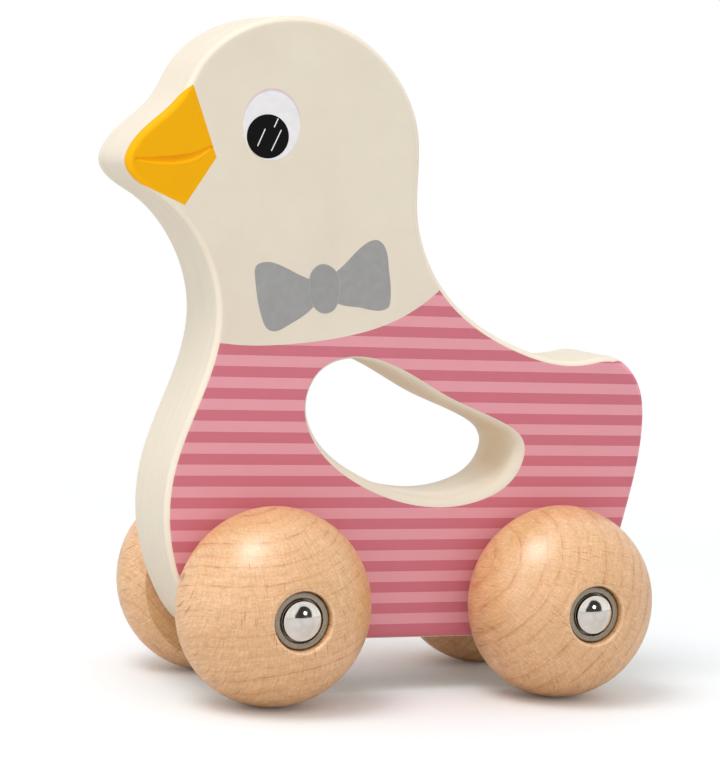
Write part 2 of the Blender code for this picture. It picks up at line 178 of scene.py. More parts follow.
# Light
ROOM_LIGHT = 0.785           # of the white that the camera sees
PAPER_SHADES = (0.12, 0.30)  # from the toy's middle to where the floor is plain white
PAPER_LIFT = 0.03            # of that white in the paper's shadows
DARK_MIDDLE = Vector((0.344, -0.936, 0.078))
DARK_EDGE = (0.906, 0.926)    # cosines of the dark patch's half width
DARK_SLOPE = Vector((0.814, -0.033, -0.581))    # square to its slanting left edge
DARK_SLOPE_EDGE = (-0.12, -0.05)
DARK_SHADE = 0.05
FLOOR_HALF_WIDTH = 3
LAMPS = {                    # place, width and watts
    "top_lamp": ((-0.36, -0.19, 0.81), 0.45, 2.68),
    "front_lamp": ((-0.40, -0.46, 0.57), 0.40, 0.40),
    "left_lamp": ((-0.83, -0.23, 0.33), 0.80, 0.48),
    "small_lamp": ((0.31, -0.75, 0.174), 0.11, 0.17),
}

# Sockets of Blender's colour mix node
FACTOR, FIRST, SECOND, RESULT = 0, 6, 7, 2


def linear(hex_colour):
    """An sRGB hex colour as linear RGBA."""
    shares = [int(hex_colour[i:i + 2], 16) / 255 for i in (1, 3, 5)]
    return (*(c / 12.92 if c <= 0.04045 else ((c + 0.055) / 1.055) ** 2.4 for c in shares), 1.0)


def add(material, kind, inputs=(), **settings):
    """Add a shader node. An input is a value, or another node's output to link."""
    node = material.node_tree.nodes.new("ShaderNode" + kind)
    for name, value in settings.items():
        setattr(node, name, value)
    for name, value in dict(inputs).items():
        if isinstance(value, bpy.types.NodeSocket):
            material.node_tree.links.new(value, node.inputs[name])
        else:
            node.inputs[name].default_value = value
    return node


def finish_material(name, inputs):
    """A new material and the Principled shader that its nodes feed, with its fixed values set."""
    material = bpy.data.materials.new(name)
    material.use_nodes = True
    shader = material.node_tree.nodes["Principled BSDF"]
    for socket, value in inputs.items():
        shader.inputs[socket].default_value = value
    return material, shader.inputs


def feed(material, socket, output):
    """Link a node's output to a socket of the shader."""
    material.node_tree.links.new(output, socket)


def enamelled_board():
    """Beech board, sprayed with satin enamel and screen printed on both faces.

    The eye sees an even cream, with faint streaks where the grain shows through on the sawn edges, a painted
    highlight as a paler line along the rounded edges, painted light and shade inside the grip hole, paler
    below and tanner above, and flat pink rows and a yellow beak with crisp borders.
    """
    m, shader = finish_material("satin_enamel_on_beech", {"IOR": 1.5, "Specular IOR Level": 0.1})
    place = add(m, "TexCoord").outputs["Object"]
    across = add(m, "SeparateXYZ", {0: place}).outputs
    depth = add(m, "Math", {0: across["Y"]}, operation="ABSOLUTE").outputs[0]
    on_face = add(m, "VectorMath", {0: place, 1: (1, 0, 1)}, operation="MULTIPLY").outputs[0]

    # Grain under the coat: 0.8 mm streaks along the edges, soft 20 mm clouds on the faces
    grain_scale = (1 / 0.020, 1 / 0.0008, 1 / 0.020)
    grain_place = add(m, "VectorMath", {0: place, 1: grain_scale}, operation="MULTIPLY").outputs[0]
    grain = add(m, "TexNoise", {"Vector": grain_place, "Scale": 1, "Detail": 4, "Roughness": 0.6}).outputs[0]
    grain = add(m, "MapRange", {0: grain, 1: 0.35, 2: 0.65}).outputs[0]
    cream = add(m, "Mix", {FACTOR: grain, FIRST: linear("#E8DECC"), SECOND: linear("#E4D9C6")},
                data_type="RGBA").outputs[RESULT]

    # Inside the grip hole, within an ellipse round it: painted light, a paler cream, below and painted shade,
    # a tanner cream, above
    from_grip = add(m, "VectorMath", {0: on_face, 1: (GRIP_MIDDLE_X, 0, GRIP_LOWEST + GRIP_HEIGHT / 2)},
                    operation="SUBTRACT").outputs[0]
    from_grip = add(m, "VectorMath", {0: from_grip, 1: (1 / GRIP_ZONE[0], 0, 1 / GRIP_ZONE[1])},
                    operation="MULTIPLY").outputs[0]
    from_grip = add(m, "VectorMath", {0: from_grip}, operation="LENGTH").outputs["Value"]
    in_grip = add(m, "Math", {0: from_grip, 1: 1.0}, operation="LESS_THAN").outputs[0]
    inside = add(m, "MapRange", {0: depth, 1: BOARD_FACE - GRIP_LIGHT_SHADE_DEPTH[0], 2: BOARD_FACE - GRIP_LIGHT_SHADE_DEPTH[1]},
                 interpolation_type="SMOOTHSTEP").outputs[0]
    inside = add(m, "Math", {0: in_grip, 1: inside}, operation="MULTIPLY").outputs[0]
    above = add(m, "MapRange", {0: across["Z"], 1: GRIP_LIGHT_SHADE_Z[0], 2: GRIP_LIGHT_SHADE_Z[1]}).outputs[0]
    # Painted light on the hole's bottom, painted shade on its upper wall
    grip_light_and_shade = add(m, "Mix", {FACTOR: above, FIRST: linear("#FCF3E3"), SECOND: linear("#E2D0B4")},
              data_type="RGBA").outputs[RESULT]
    cream = add(m, "Mix", {FACTOR: inside, FIRST: cream, SECOND: grip_light_and_shade}, data_type="RGBA").outputs[RESULT]

    # Stripes below the neckline, on the faces and over the end of the tail and the lower edge
    height = add(m, "Math", {0: across["Z"], 1: LAST_STRIPE}, operation="MAXIMUM").outputs[0]
    height = add(m, "Math", {0: height, 1: STRIPE_START}, operation="SUBTRACT").outputs[0]
    pairs = add(m, "Math", {0: height, 1: 0.5 / STRIPE_WIDTH}, operation="MULTIPLY").outputs[0]
    share = add(m, "Math", {0: pairs}, operation="FRACT").outputs[0]
    light = add(m, "Math", {0: share, 1: 0.5}, operation="GREATER_THAN").outputs[0]
    stripes = add(m, "Mix", {FACTOR: light, FIRST: linear("#D07684"), SECOND: linear("#E6A0AA")},
                  data_type="RGBA").outputs[RESULT]
    neckline = NECKLINE[-1]
    for term in reversed(NECKLINE[:-1]):
        neckline = add(m, "Math", {0: across["X"], 1: neckline, 2: term}, operation="MULTIPLY_ADD").outputs[0]
    below_neck = add(m, "Math", {0: across["Z"], 1: neckline}, operation="LESS_THAN").outputs[0]
    print_wrap = {0: across["X"], 1: TAIL_WRAP_X[0], 2: TAIL_WRAP_X[1], 3: PRINT_WRAP, 4: TAIL_WRAP}
    print_wrap = add(m, "MapRange", print_wrap, interpolation_type="SMOOTHSTEP").outputs[0]
    lower_wrap = {0: across["Z"], 1: LOWER_WRAP_Z[0], 2: LOWER_WRAP_Z[1], 4: LOWER_WRAP}
    lower_wrap = add(m, "MapRange", lower_wrap, interpolation_type="SMOOTHSTEP").outputs[0]
    print_wrap = add(m, "Math", {0: print_wrap, 1: lower_wrap}, operation="MAXIMUM").outputs[0]
    reach = add(m, "Math", {0: depth, 1: print_wrap}, operation="ADD").outputs[0]
    printed = add(m, "Math", {0: reach, 1: BOARD_FACE}, operation="GREATER_THAN").outputs[0]
    striped = add(m, "Math", {0: below_neck, 1: printed}, operation="MULTIPLY").outputs[0]
    paint = add(m, "Mix", {FACTOR: striped, FIRST: cream, SECOND: stripes}, data_type="RGBA").outputs[RESULT]

    # The beak lies in front of three straight borders
    in_front = 1.0
    for (start_x, start_z), (end_x, end_z) in zip(BEAK_BORDER, BEAK_BORDER[1:]):
        from_start = add(m, "VectorMath", {0: on_face, 1: (start_x, 0, start_z)},
                         operation="SUBTRACT").outputs[0]
        square = (end_z - start_z, 0, start_x - end_x)
        past = add(m, "VectorMath", {0: from_start, 1: square}, operation="DOT_PRODUCT").outputs["Value"]
        before = add(m, "Math", {0: past, 1: 0}, operation="LESS_THAN").outputs[0]
        in_front = add(m, "Math", {0: in_front, 1: before}, operation="MULTIPLY").outputs[0]
    beak_wrap = add(m, "Math", {0: across["Y"], 1: 0}, operation="LESS_THAN").outputs[0]
    for start, end in BEAK_WRAP_Z:
        toward_tip = add(m, "MapRange", {0: across["Z"], 1: start, 2: end},
                         interpolation_type="SMOOTHSTEP").outputs[0]
        beak_wrap = add(m, "Math", {0: beak_wrap, 1: toward_tip}, operation="MULTIPLY").outputs[0]
    least = {0: across["Y"], 1: -BOARD_FACE, 2: BOARD_FACE, 3: PRINT_WRAP, 4: MOUTH_WRAP}
    least = add(m, "MapRange", least).outputs[0]
    beak_wrap = add(m, "MapRange", {0: beak_wrap, 3: least, 4: BEAK_WRAP}).outputs[0]
    reach = add(m, "Math", {0: depth, 1: beak_wrap}, operation="ADD").outputs[0]
    near_face = add(m, "Math", {0: reach, 1: BOARD_FACE}, operation="GREATER_THAN").outputs[0]
    beak = add(m, "Math", {0: in_front, 1: near_face}, operation="MULTIPLY").outputs[0]
    paint = add(m, "Mix", {FACTOR: beak, FIRST: paint, SECOND: linear("#F2AE02")},
                data_type="RGBA").outputs[RESULT]

    # Slightly uneven coat: a soft mottle a few millimetres across, and a painted highlight along the outer
    # rounded edge
    mottle = add(m, "TexNoise", {"Vector": place, "Scale": 1 / 0.004, "Detail": 3}).outputs[0]
    tone = add(m, "MapRange", {0: mottle, 1: 0.3, 2: 0.7, 3: 0.988, 4: 1.008}).outputs[0]
    below = add(m, "Math", {0: BOARD_FACE, 1: depth}, operation="SUBTRACT").outputs[0]
    # Painted highlight along the rounded edges, left out in the grip hole
    edge_highlight = add(m, "Math", {0: 1.0, 1: in_grip}, operation="SUBTRACT").outputs[0]
    for none, full in (EDGE_HIGHLIGHT_BAND[:2], EDGE_HIGHLIGHT_BAND[:1:-1]):
        ramp = add(m, "MapRange", {0: below, 1: none, 2: full}, interpolation_type="SMOOTHSTEP").outputs[0]
        edge_highlight = add(m, "Math", {0: edge_highlight, 1: ramp}, operation="MULTIPLY").outputs[0]
    edge_highlight = add(m, "MapRange", {0: edge_highlight, 3: 1.0, 4: EDGE_HIGHLIGHT_TONE}).outputs[0]
    tone = add(m, "Math", {0: tone, 1: edge_highlight}, operation="MULTIPLY").outputs[0]
    coat = add(m, "HueSaturation", {"Color": paint, "Value": tone}).outputs[0]
    feed(m, shader["Base Color"], coat)
    polish = add(m, "MapRange", {0: mottle, 1: 0.3, 2: 0.7, 3: 0.42, 4: 0.52}).outputs[0]
    feed(m, shader["Roughness"], polish)

    # Orange peel of the spray, drawn at 0.7 mm, and the grain's faint ridges
    peel = add(m, "TexNoise", {"Vector": place, "Scale": 1 / 0.0007, "Detail": 1}).outputs[0]
    relief = add(m, "Math", {0: peel, 1: grain}, operation="ADD").outputs[0]
    bump = add(m, "Bump", {"Height": relief, "Strength": 0.04, "Distance": 0.0002}).outputs[0]
    feed(m, shader["Normal"], bump)
    return m


def lacquered_beech(name, pith, ring_width):
    """Beech turned with its grain roughly along the axle, under clear satin lacquer.

    The dome shows end grain: warm tan with faint arcs, each a thin brown line that fades away from the
    pith, a fine weave of pores along the arcs and rays across them, and many short dark ray ends. On the
    tread the rays show as flecks that lie along the axle. The lacquer gives a broad soft sheen.
    """
    m, shader = finish_material(name, {"IOR": 1.5, "Specular IOR Level": 0.0, "Coat Weight": 1.0,
                                       "Coat Roughness": 0.34, "Coat IOR": 1.9})
    place = add(m, "TexCoord").outputs["Object"]
    leaning = add(m, "VectorRotate", {"Vector": place, "Angle": GRAIN_LEAN},
                  rotation_type="X_AXIS").outputs[0]
    centred = add(m, "VectorMath", {0: leaning, 1: (pith[0], 0, pith[1])}, operation="SUBTRACT").outputs[0]

    # Rings wander by about a quarter of a millimetre over 12 mm
    wander = add(m, "TexNoise", {"Vector": place, "Scale": 1 / 0.012, "Detail": 3}).outputs["Color"]
    wander = add(m, "VectorMath", {0: wander, 1: (0.5, 0.5, 0.5)}, operation="SUBTRACT").outputs[0]
    wander = add(m, "VectorMath", {0: wander, "Scale": 0.0012}, operation="SCALE").outputs[0]
    wood = add(m, "VectorMath", {0: centred, 1: wander}, operation="ADD").outputs[0]
    across = add(m, "SeparateXYZ", {0: wood}).outputs
    turn = add(m, "Math", {0: across["X"], 1: across["Z"]}, operation="ARCTAN2").outputs[0]
    flat = add(m, "VectorMath", {0: wood, 1: (1, 0, 1)}, operation="MULTIPLY").outputs[0]
    out = add(m, "VectorMath", {0: flat}, operation="LENGTH").outputs["Value"]

    # Years: some narrow, some wide, some hardly marked, each dark where it starts
    years = add(m, "Math", {0: out, 1: 1 / ring_width}, operation="MULTIPLY").outputs[0]
    uneven = add(m, "TexNoise", {"W": years, "Scale": 0.4, "Detail": 1}, noise_dimensions="1D").outputs[0]
    years = add(m, "Math", {0: uneven, 1: 1.6, 2: years}, operation="MULTIPLY_ADD").outputs[0]
    season = add(m, "Math", {0: years}, operation="FRACT").outputs[0]
    left = add(m, "Math", {0: 1.0, 1: season}, operation="SUBTRACT").outputs[0]
    late = add(m, "Math", {0: left, 1: 5.0}, operation="POWER").outputs[0]
    year = add(m, "Math", {0: years}, operation="FLOOR").outputs[0]
    marked = add(m, "TexWhiteNoise", {"W": year}, noise_dimensions="1D").outputs[0]
    marked = add(m, "MapRange", {0: marked, 3: 0.3, 4: 0.95}).outputs[0]
    broken = add(m, "TexNoise", {"Vector": place, "Scale": 1 / 0.003, "Detail": 2}).outputs[0]
    broken = add(m, "MapRange", {0: broken, 1: 0.35, 2: 0.65, 3: 0.3, 4: 1.0}).outputs[0]
    late = add(m, "Math", {0: late, 1: marked}, operation="MULTIPLY").outputs[0]
    late = add(m, "Math", {0: late, 1: broken}, operation="MULTIPLY").outputs[0]

    # Ray ends: ribbons 0.2 mm thick, square to the rings, in cells measured round, along and out
    around = add(m, "Math", {0: turn, 1: math.hypot(*pith)}, operation="MULTIPLY").outputs[0]
    ribbon = add(m, "CombineXYZ", {"X": around, "Y": across["Y"], "Z": out}).outputs[0]
    cells = add(m, "VectorMath", {0: ribbon, 1: (1 / 0.00038, 1 / 0.012, 1 / 0.0050)},
                operation="MULTIPLY").outputs[0]
    cells = add(m, "TexVoronoi", {"Vector": cells, "Scale": 1}).outputs
    rays = add(m, "MapRange", {0: cells["Distance"], 1: 0.24, 2: 0.08},
               interpolation_type="SMOOTHSTEP").outputs[0]
    plain = add(m, "MapRange", {0: cells["Color"], 1: 0.30, 2: 0.70, 3: 0.08, 4: 0.65}).outputs[0]
    rays = add(m, "Math", {0: rays, 1: plain}, operation="MULTIPLY").outputs[0]

    # Fine rays across the rings and pores along them, 0.25 mm wide and coarser than life so that they show
    weave = 0
    for grid in ((0.00022, 0.004, 0.0014), (0.0014, 0.004, 0.00022), (0.0003, 0.002, 0.0003)):
        threads = add(m, "VectorMath", {0: ribbon, 1: [1 / size for size in grid]},
                      operation="MULTIPLY").outputs[0]
        threads = add(m, "TexNoise", {"Vector": threads, "Scale": 1, "Detail": 2}).outputs[0]
        weave = add(m, "Math", {0: threads, 1: 1 / 3, 2: weave}, operation="MULTIPLY_ADD").outputs[0]
    clouds = add(m, "TexNoise", {"Vector": place, "Scale": 1 / 0.012, "Detail": 2}).outputs[0]
    clouds = add(m, "MapRange", {0: clouds, 1: 0.35, 2: 0.65}).outputs[0]
    tan = add(m, "Mix", {FACTOR: clouds, FIRST: linear("#F1C08F"), SECOND: linear("#E8B681")},
              data_type="RGBA").outputs[RESULT]
    ripe = add(m, "Math", {0: season, 1: RIPE_SHARE}, operation="MULTIPLY").outputs[0]

    # Painted highlight: a pale ring along the cut edge round the counterbore
    from_axle = add(m, "VectorMath", {0: place, 1: (1, 0, 1)}, operation="MULTIPLY").outputs[0]
    from_axle = add(m, "VectorMath", {0: from_axle}, operation="LENGTH").outputs["Value"]
    rim = add(m, "Math", {0: from_axle, 1: RIM_HIGHLIGHT_RADIUS, 2: RIM_HIGHLIGHT_WIDTH / 2}, operation="COMPARE").outputs[0]
    rim = add(m, "Math", {0: rim, 1: broken}, operation="MULTIPLY").outputs[0]
    rim = add(m, "Math", {0: rim, 1: RIM_HIGHLIGHT_SHARE}, operation="MULTIPLY").outputs[0]
    for share, colour in ((ripe, "#D59E61"), (late, "#C0661A"), (rays, "#A0560E"), (rim, "#FBE6C8")):
        tan = add(m, "Mix", {FACTOR: share, FIRST: tan, SECOND: linear(colour)},
                  data_type="RGBA").outputs[RESULT]

    # Pores are darker and warmer than the clear wood
    tone, warmth, polish = (
        add(m, "MapRange", {0: weave, 1: WEAVE_RANGE[0], 2: WEAVE_RANGE[1], 3: pore, 4: clear}).outputs[0]
        for pore, clear in ((0.79, 1.13), (1.07, 0.95), (0.46, 0.56)))
    tan = add(m, "HueSaturation", {"Color": tan, "Value": tone, "Saturation": warmth}).outputs[0]
    feed(m, shader["Base Color"], tan)
    feed(m, shader["Roughness"], polish)
    open_grain = add(m, "Math", {0: weave, 1: rays}, operation="SUBTRACT").outputs[0]
    bump = add(m, "Bump", {"Height": open_grain, "Strength": 0.08, "Distance": 0.0001}).outputs[0]
    feed(m, shader["Normal"], bump)
    return m


def steel(name, colour, roughness, spread, mark_size, foot_shade_height=0):
    """Steel with a given polish, its tone and roughness uneven over marks of a given size.

    Below a given height round its foot it is painted dark brown: painted shade and a painted reflection
    of the wood in the groove round the cap.
    """
    m, shader = finish_material(name, {"Metallic": 1.0})
    place = add(m, "TexCoord").outputs["Object"]
    marks = add(m, "TexNoise", {"Vector": place, "Scale": 1 / mark_size, "Detail": 3}).outputs[0]
    tone = add(m, "MapRange", {0: marks, 1: 0.3, 2: 0.7, 3: 0.86, 4: 1.10}).outputs[0]
    metal = add(m, "HueSaturation", {"Color": linear(colour), "Value": tone}).outputs[0]
    if foot_shade_height:
        # Painted shade and painted reflection of the wood round the foot
        height = add(m, "SeparateXYZ", {0: place}).outputs["Y"]
        height = add(m, "Math", {0: height}, operation="ABSOLUTE").outputs[0]
        foot_shade = add(m, "MapRange", {0: height, 1: foot_shade_height, 2: FOOT_SHADE_FADE * foot_shade_height}).outputs[0]
        metal = add(m, "Mix", {FACTOR: foot_shade, FIRST: metal, SECOND: linear("#A08770")},
                    data_type="RGBA").outputs[RESULT]
    feed(m, shader["Base Color"], metal)
    polish = {0: marks, 1: 0.3, 2: 0.7, 3: roughness - spread, 4: roughness + spread}
    feed(m, shader["Roughness"], add(m, "MapRange", polish).outputs[0])
    return m


def screen_ink(name, colour):
    """Screen-printed ink: a flat, slightly mottled film a shade duller than the enamel under it."""
    m, shader = finish_material(name, {"Roughness": 0.55, "IOR": 1.5, "Specular IOR Level": 0.1})
    place = add(m, "TexCoord").outputs["Object"]
    mottle = add(m, "TexNoise", {"Vector": place, "Scale": 1 / 0.0015, "Detail": 3}).outputs[0]
    tone = add(m, "MapRange", {0: mottle, 1: 0.3, 2: 0.7, 3: 0.96, 4: 1.04}).outputs[0]
    ink = add(m, "HueSaturation", {"Color": linear(colour), "Value": tone}).outputs[0]
    feed(m, shader["Base Color"], ink)
    return m


def spline_slopes(points, lengths, closed):
    """Slopes at the points of the smoothest cubic curve through them. An open curve ends along X."""
    count = len(points)
    system, right_side = np.zeros((count, count)), np.zeros((count, 2))
    for i in range(count):
        before, after = (i - 1) % count, (i + 1) % count
        if not closed and i in (0, count - 1):
            system[i, i] = 1
            right_side[i] = (np.sign(points[1, 0] - points[0, 0]), 0)
            continue
        system[i, before] = 1 / lengths[before]
        system[i, i] = 2 / lengths[before] + 2 / lengths[i]
        system[i, after] = 1 / lengths[i]
        right_side[i] = 3 * ((points[i] - points[before]) / lengths[before] ** 2
                             + (points[after] - points[i]) / lengths[i] ** 2)
    return np.linalg.solve(system, right_side)


def on_board(hundredths):
    """Points drawn in hundredths of the board's length and height, as (x, z)."""
    size = BOARD_HIGH - BOARD_LOW
    return np.array(hundredths) / 100 * (size.x, size.z) + (BOARD_LOW.x, BOARD_LOW.z)


def on_grip(hundredths):
    """Points drawn in hundredths of the grip hole's length and height, as (x, z)."""
    corner = (GRIP_MIDDLE_X - GRIP_LENGTH / 2, GRIP_LOWEST)
    return np.array(hundredths) / 100 * (GRIP_LENGTH, GRIP_HEIGHT) + corner


def smooth_curve(knots, closed, step):
    """Points along a smooth curve through the knots, no further apart than the step."""
    points = np.array(knots)
    lengths = np.linalg.norm(np.roll(points, -1, axis=0) - points, axis=1)
    slopes = spline_slopes(points, lengths, closed)
    curve = []
    for i in range(len(points) if closed else len(points) - 1):
        j = (i + 1) % len(points)
        steps = 1 + math.ceil(lengths[i] / step)
        for t in np.arange(steps) / steps:
            curve.append((2 * t**3 - 3 * t**2 + 1) * points[i] + (3 * t**2 - 2 * t**3) * points[j]
                         + lengths[i] * ((t**3 - 2 * t**2 + t) * slopes[i] + (t**3 - t**2) * slopes[j]))
    return np.array(curve if closed else [*curve, points[-1]])


def offset_loop(loop, distance):
    """Move a clockwise loop outwards, square to its run, by one distance or by one for each point."""
    grip_light_and_shade = np.roll(loop, -1, axis=0) - np.roll(loop, 1, axis=0)
    grip_light_and_shade /= np.linalg.norm(grip_light_and_shade, axis=1)[:, None]
    return loop + np.reshape(distance, (-1, 1)) * np.stack([-grip_light_and_shade[:, 1], grip_light_and_shade[:, 0]], axis=1)


def ellipse_loop(centre, radii, segments):
    """A clockwise ellipse."""
    angles = -2 * math.pi * np.arange(segments) / segments
    return np.stack([centre[0] + radii[0] * np.cos(angles), centre[1] + radii[1] * np.sin(angles)], axis=1)


def wall(bm, loops):
    """Skin a stack of ((x, z) loop, y) with smooth quads and return the first and last loop's edges."""
    rings = [[bm.verts.new((x, depth, z)) for (x, z), depth in zip(loop, np.broadcast_to(y, len(loop)))]
             for loop, y in loops]
    for near, far in zip(rings, rings[1:]):
        for i in range(len(near)):
            j = (i + 1) % len(near)
            bm.faces.new((near[i], near[j], far[j], far[i])).smooth = True
    return [[bm.edges.get((ring[i], ring[(i + 1) % len(ring)])) for i in range(len(ring))]
            for ring in (rings[0], rings[-1])]


def to_mesh(name, bm):
    """Turn a bmesh into a mesh with its faces outward."""
    bmesh.ops.recalc_face_normals(bm, faces=bm.faces)
    mesh = bpy.data.meshes.new(name)
    bm.to_mesh(mesh)
    bm.free()
    return mesh


def add_piece(name, mesh, material, location=(0, 0, 0)):
    """Place a mesh as a named piece in one material."""
    piece = bpy.data.objects.new(name, mesh)
    bpy.context.scene.collection.objects.link(piece)
    piece.location = location
    mesh.materials.append(material)
    return piece


def attach(piece, body, replaced=()):
    """Let a piece ride on a body and stand for CAD nodes, which it hides."""
    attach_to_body(piece, body)
    if replaced:
        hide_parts(*replaced)


def rounded_levels(radius):
    """(inset, y) from the left face to the right face: a flat strip and a quarter round at each."""
    quarter = [math.pi / 2 * i / ROUND_STEPS for i in range(ROUND_STEPS + 1)]
    left = [(radius + FACE_MARGIN, -BOARD_FACE)]
    left += [(radius * (1 - math.sin(a)), -BOARD_FACE + radius * (1 - math.cos(a))) for a in quarter]
    return left + [(inset, -y) for inset, y in reversed(left)]


def grip_rim(grip):
    """The rounding of the grip hole's rim at each point of its outline."""
    outward = offset_loop(grip, 1) - grip
    crisp, full = GRIP_RIM_ROUNDS
    return crisp + (full - crisp) * np.clip(GRIP_CRISP_SHARE - outward @ GRIP_CRISP_WAY, 0, 1)


def board_mesh():
    """The sawn board with its rounded outside edge, its grip hole and its two axle holes."""
    bm = bmesh.new()
    edge = smooth_curve(on_board(BOARD_OUTLINE), False, OUTLINE_STEP)
    grip = smooth_curve(on_grip(GRIP_OUTLINE), True, OUTLINE_STEP)
    rim = grip_rim(grip)
    walls = [
        wall(bm, [(offset_loop(edge, -inset), y) for inset, y in rounded_levels(EDGE_ROUND)]),
        wall(bm, [(offset_loop(grip, inset - rim), y) for inset, y in rounded_levels(rim)]),
    ]
    for end in ENDS:
        low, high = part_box(f"{end}_axle")
        centre = ((low.x + high.x) / 2, (low.z + high.z) / 2)
        levels = [(BORE_CHAMFER, -BOARD_FACE), (0, BORE_CHAMFER - BOARD_FACE)]
        levels += [(flare, -y) for flare, y in reversed(levels)]
        walls.append(wall(bm, [(ellipse_loop(centre, [AXLE_HOLE_RADIUS + flare] * 2, BORE_SEGMENTS), y)
                               for flare, y in levels]))
    for face in (0, 1):
        bmesh.ops.triangle_fill(bm, edges=[e for w in walls for e in w[face]], use_beauty=True)
    return to_mesh("board", bm)


def mouth_tool_mesh(side):
    """A tapering rod along the mouth line that carves it into one face of the beak."""
    line = smooth_curve(on_board(MOUTH_LINE), False, OUTLINE_STEP)
    grip_light_and_shade = np.gradient(line, axis=0)
    angles = [2 * math.pi * k / MOUTH_SIDES for k in range(MOUTH_SIDES)]
    outward = Vector((0, 1, 0))
    bm = bmesh.new()
    rings = []
    for i, (x, z) in enumerate(line):
        taper = MOUTH_END_SHARE + (1 - MOUTH_END_SHARE) * math.sin(math.pi * i / (len(line) - 1))
        radius = MOUTH_TOOL_RADIUS * taper
        centre = Vector((x, side * (BOARD_FACE + radius - MOUTH_DEPTH * taper), z))
        across = Vector((grip_light_and_shade[i, 0], 0, grip_light_and_shade[i, 1])).normalized().cross(outward)
        deepward = outward - side * MOUTH_LEAN * across
        rings.append([bm.verts.new(centre + radius * (math.cos(a) * across + math.sin(a) * deepward))
                      for a in angles])
    for near, far in zip(rings, rings[1:]):
        for k in range(MOUTH_SIDES):
            bm.faces.new((near[k], near[k - 1], far[k - 1], far[k])).smooth = True
    bm.faces.new(rings[0])
    bm.faces.new(rings[-1])
    return to_mesh("mouth_tool", bm)


def add_board():
    """The painted board, with its mouth line carved into both faces."""
    board = add_piece("bird_board", board_mesh(), enamelled_board())
    tools = []
    for side in SIDES.values():
        tool = bpy.data.objects.new("mouth_tool", mouth_tool_mesh(side))
        bpy.context.scene.collection.objects.link(tool)
        cut = board.modifiers.new("mouth_line", "BOOLEAN")
        cut.operation, cut.solver, cut.object = "DIFFERENCE", "EXACT", tool
        tools.append(tool)
    bpy.context.view_layer.update()
    carved = bpy.data.meshes.new_from_object(board.evaluated_get(bpy.context.evaluated_depsgraph_get()))
    board.modifiers.clear()
    board.data = carved
    for tool in tools:
        bpy.data.objects.remove(tool)
    attach(board, "body", ["body"])


def ink_mesh(name, loops, side, layer):
    """A film of ink for each (x, z) loop, on top of the layers below it on one face."""
    bm = bmesh.new()
    base, top = side * (BOARD_FACE - INK_HEIGHT), side * (BOARD_FACE + layer * INK_HEIGHT)
    for loop in loops:
        for rim in wall(bm, [(loop, base), (loop, top)]):
            bmesh.ops.triangle_fill(bm, edges=rim, use_beauty=True)
    for face in bm.faces:
        face.smooth = False
    return to_mesh(name, bm)


def glint_loop(start, end):
    """A round-ended stroke."""
    start, end = np.array(start), np.array(end)
    along = (end - start) / np.linalg.norm(end - start)
    across = np.array([-along[1], along[0]])
    turns = np.linspace(0, math.pi, GLINT_END_POINTS)
    tip = [end + GLINT_WIDTH / 2 * (math.cos(a) * across + math.sin(a) * along) for a in turns]
    tail = [start - GLINT_WIDTH / 2 * (math.cos(a) * across + math.sin(a) * along) for a in turns]
    return np.array(tip + tail)


def add_print():
    """The eye and the bow tie, printed in layers of ink on both faces."""
    lid_centre = (EYE_CENTRE[0], EYE_CENTRE[1] + EYELID_RISE)
    lid, white, pupil = (
        ellipse_loop(centre, radii, EYE_SEGMENTS)
        for centre, radii in ((lid_centre, EYE_RADII), (EYE_CENTRE, EYE_RADII), (PUPIL_CENTRE, PUPIL_RADII)))
    knot = smooth_curve(BOW_KNOT, True, INK_STEP)
    prints = [
        ("eye_lid", screen_ink("pale_rose_ink", "#DFC6CB"), 1, [lid]),
        ("eye_white", screen_ink("white_ink", "#EBE9EA"), 2, [white]),
        ("eye_pupil", screen_ink("black_ink", "#0D0D0D"), 3, [pupil]),
        ("eye_glints", screen_ink("glint_ink", "#F4F4F2"), 4, [glint_loop(*ends) for ends in GLINTS]),
        ("bow_lobes", screen_ink("grey_ink", "#9F9F9E"), 1,
         [smooth_curve(knots, True, INK_STEP) for knots in BOW_LOBES.values()]),
        ("bow_knot_line", screen_ink("pale_grey_ink", "#AEAEAC"), 2, [offset_loop(knot, KNOT_LINE_WIDTH)]),
        ("bow_knot", screen_ink("knot_grey_ink", "#9D9D9C"), 3, [knot]),
    ]
    for side_name, side in SIDES.items():
        for name, ink, layer, loops in prints:
            film = add_piece(f"{name}_{side_name}", ink_mesh(name, loops, side, layer), ink)
            attach(film, "body")


def turned_mesh(name, profile, side, segments):
    """Turn a closed (radius, y) profile round the Y axis, its outer end towards one side."""
    bm = bmesh.new()
    verts = [bm.verts.new((radius, side * y, 0)) for radius, y in profile]
    edges = [bm.edges.new((verts[i], verts[(i + 1) % len(verts)])) for i in range(len(verts))]
    bmesh.ops.spin(bm, geom=verts + edges, cent=(0, 0, 0), axis=(0, 1, 0), angle=2 * math.pi,
                   steps=segments, use_merge=True)
    bmesh.ops.remove_doubles(bm, verts=bm.verts, dist=MERGE_DISTANCE)
    mesh = to_mesh(name, bm)
    mesh.shade_smooth()
    mesh.set_sharp_from_angle(angle=SHARP_ANGLE)
    return mesh


def arc(centre, radii, start, end, steps):
    """(radius, y) points along an elliptic arc between two angles in degrees."""
    angles = np.radians(np.linspace(start, end, steps + 1))
    return [(centre[0] + radii[0] * math.cos(a), centre[1] + radii[1] * math.sin(a)) for a in angles]


def low_dome(radius, foot, height):
    """(radius, y) points up a low round dome, from its edge to its top."""
    ball = (radius ** 2 + height ** 2) / (2 * height)
    edge = math.degrees(math.asin(radius / ball))
    return arc((0, foot + height - ball), [ball] * 2, 90 - edge, 90, CAP_RINGS)


def station(node):
    """A turned node's axle point, outer radius and inner and outer distance from the board's middle."""
    low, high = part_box(node)
    near, far = sorted((abs(low.y), abs(high.y)))
    return Vector(((low.x + high.x) / 2, 0, (low.z + high.z) / 2)), (high.x - low.x) / 2, near, far


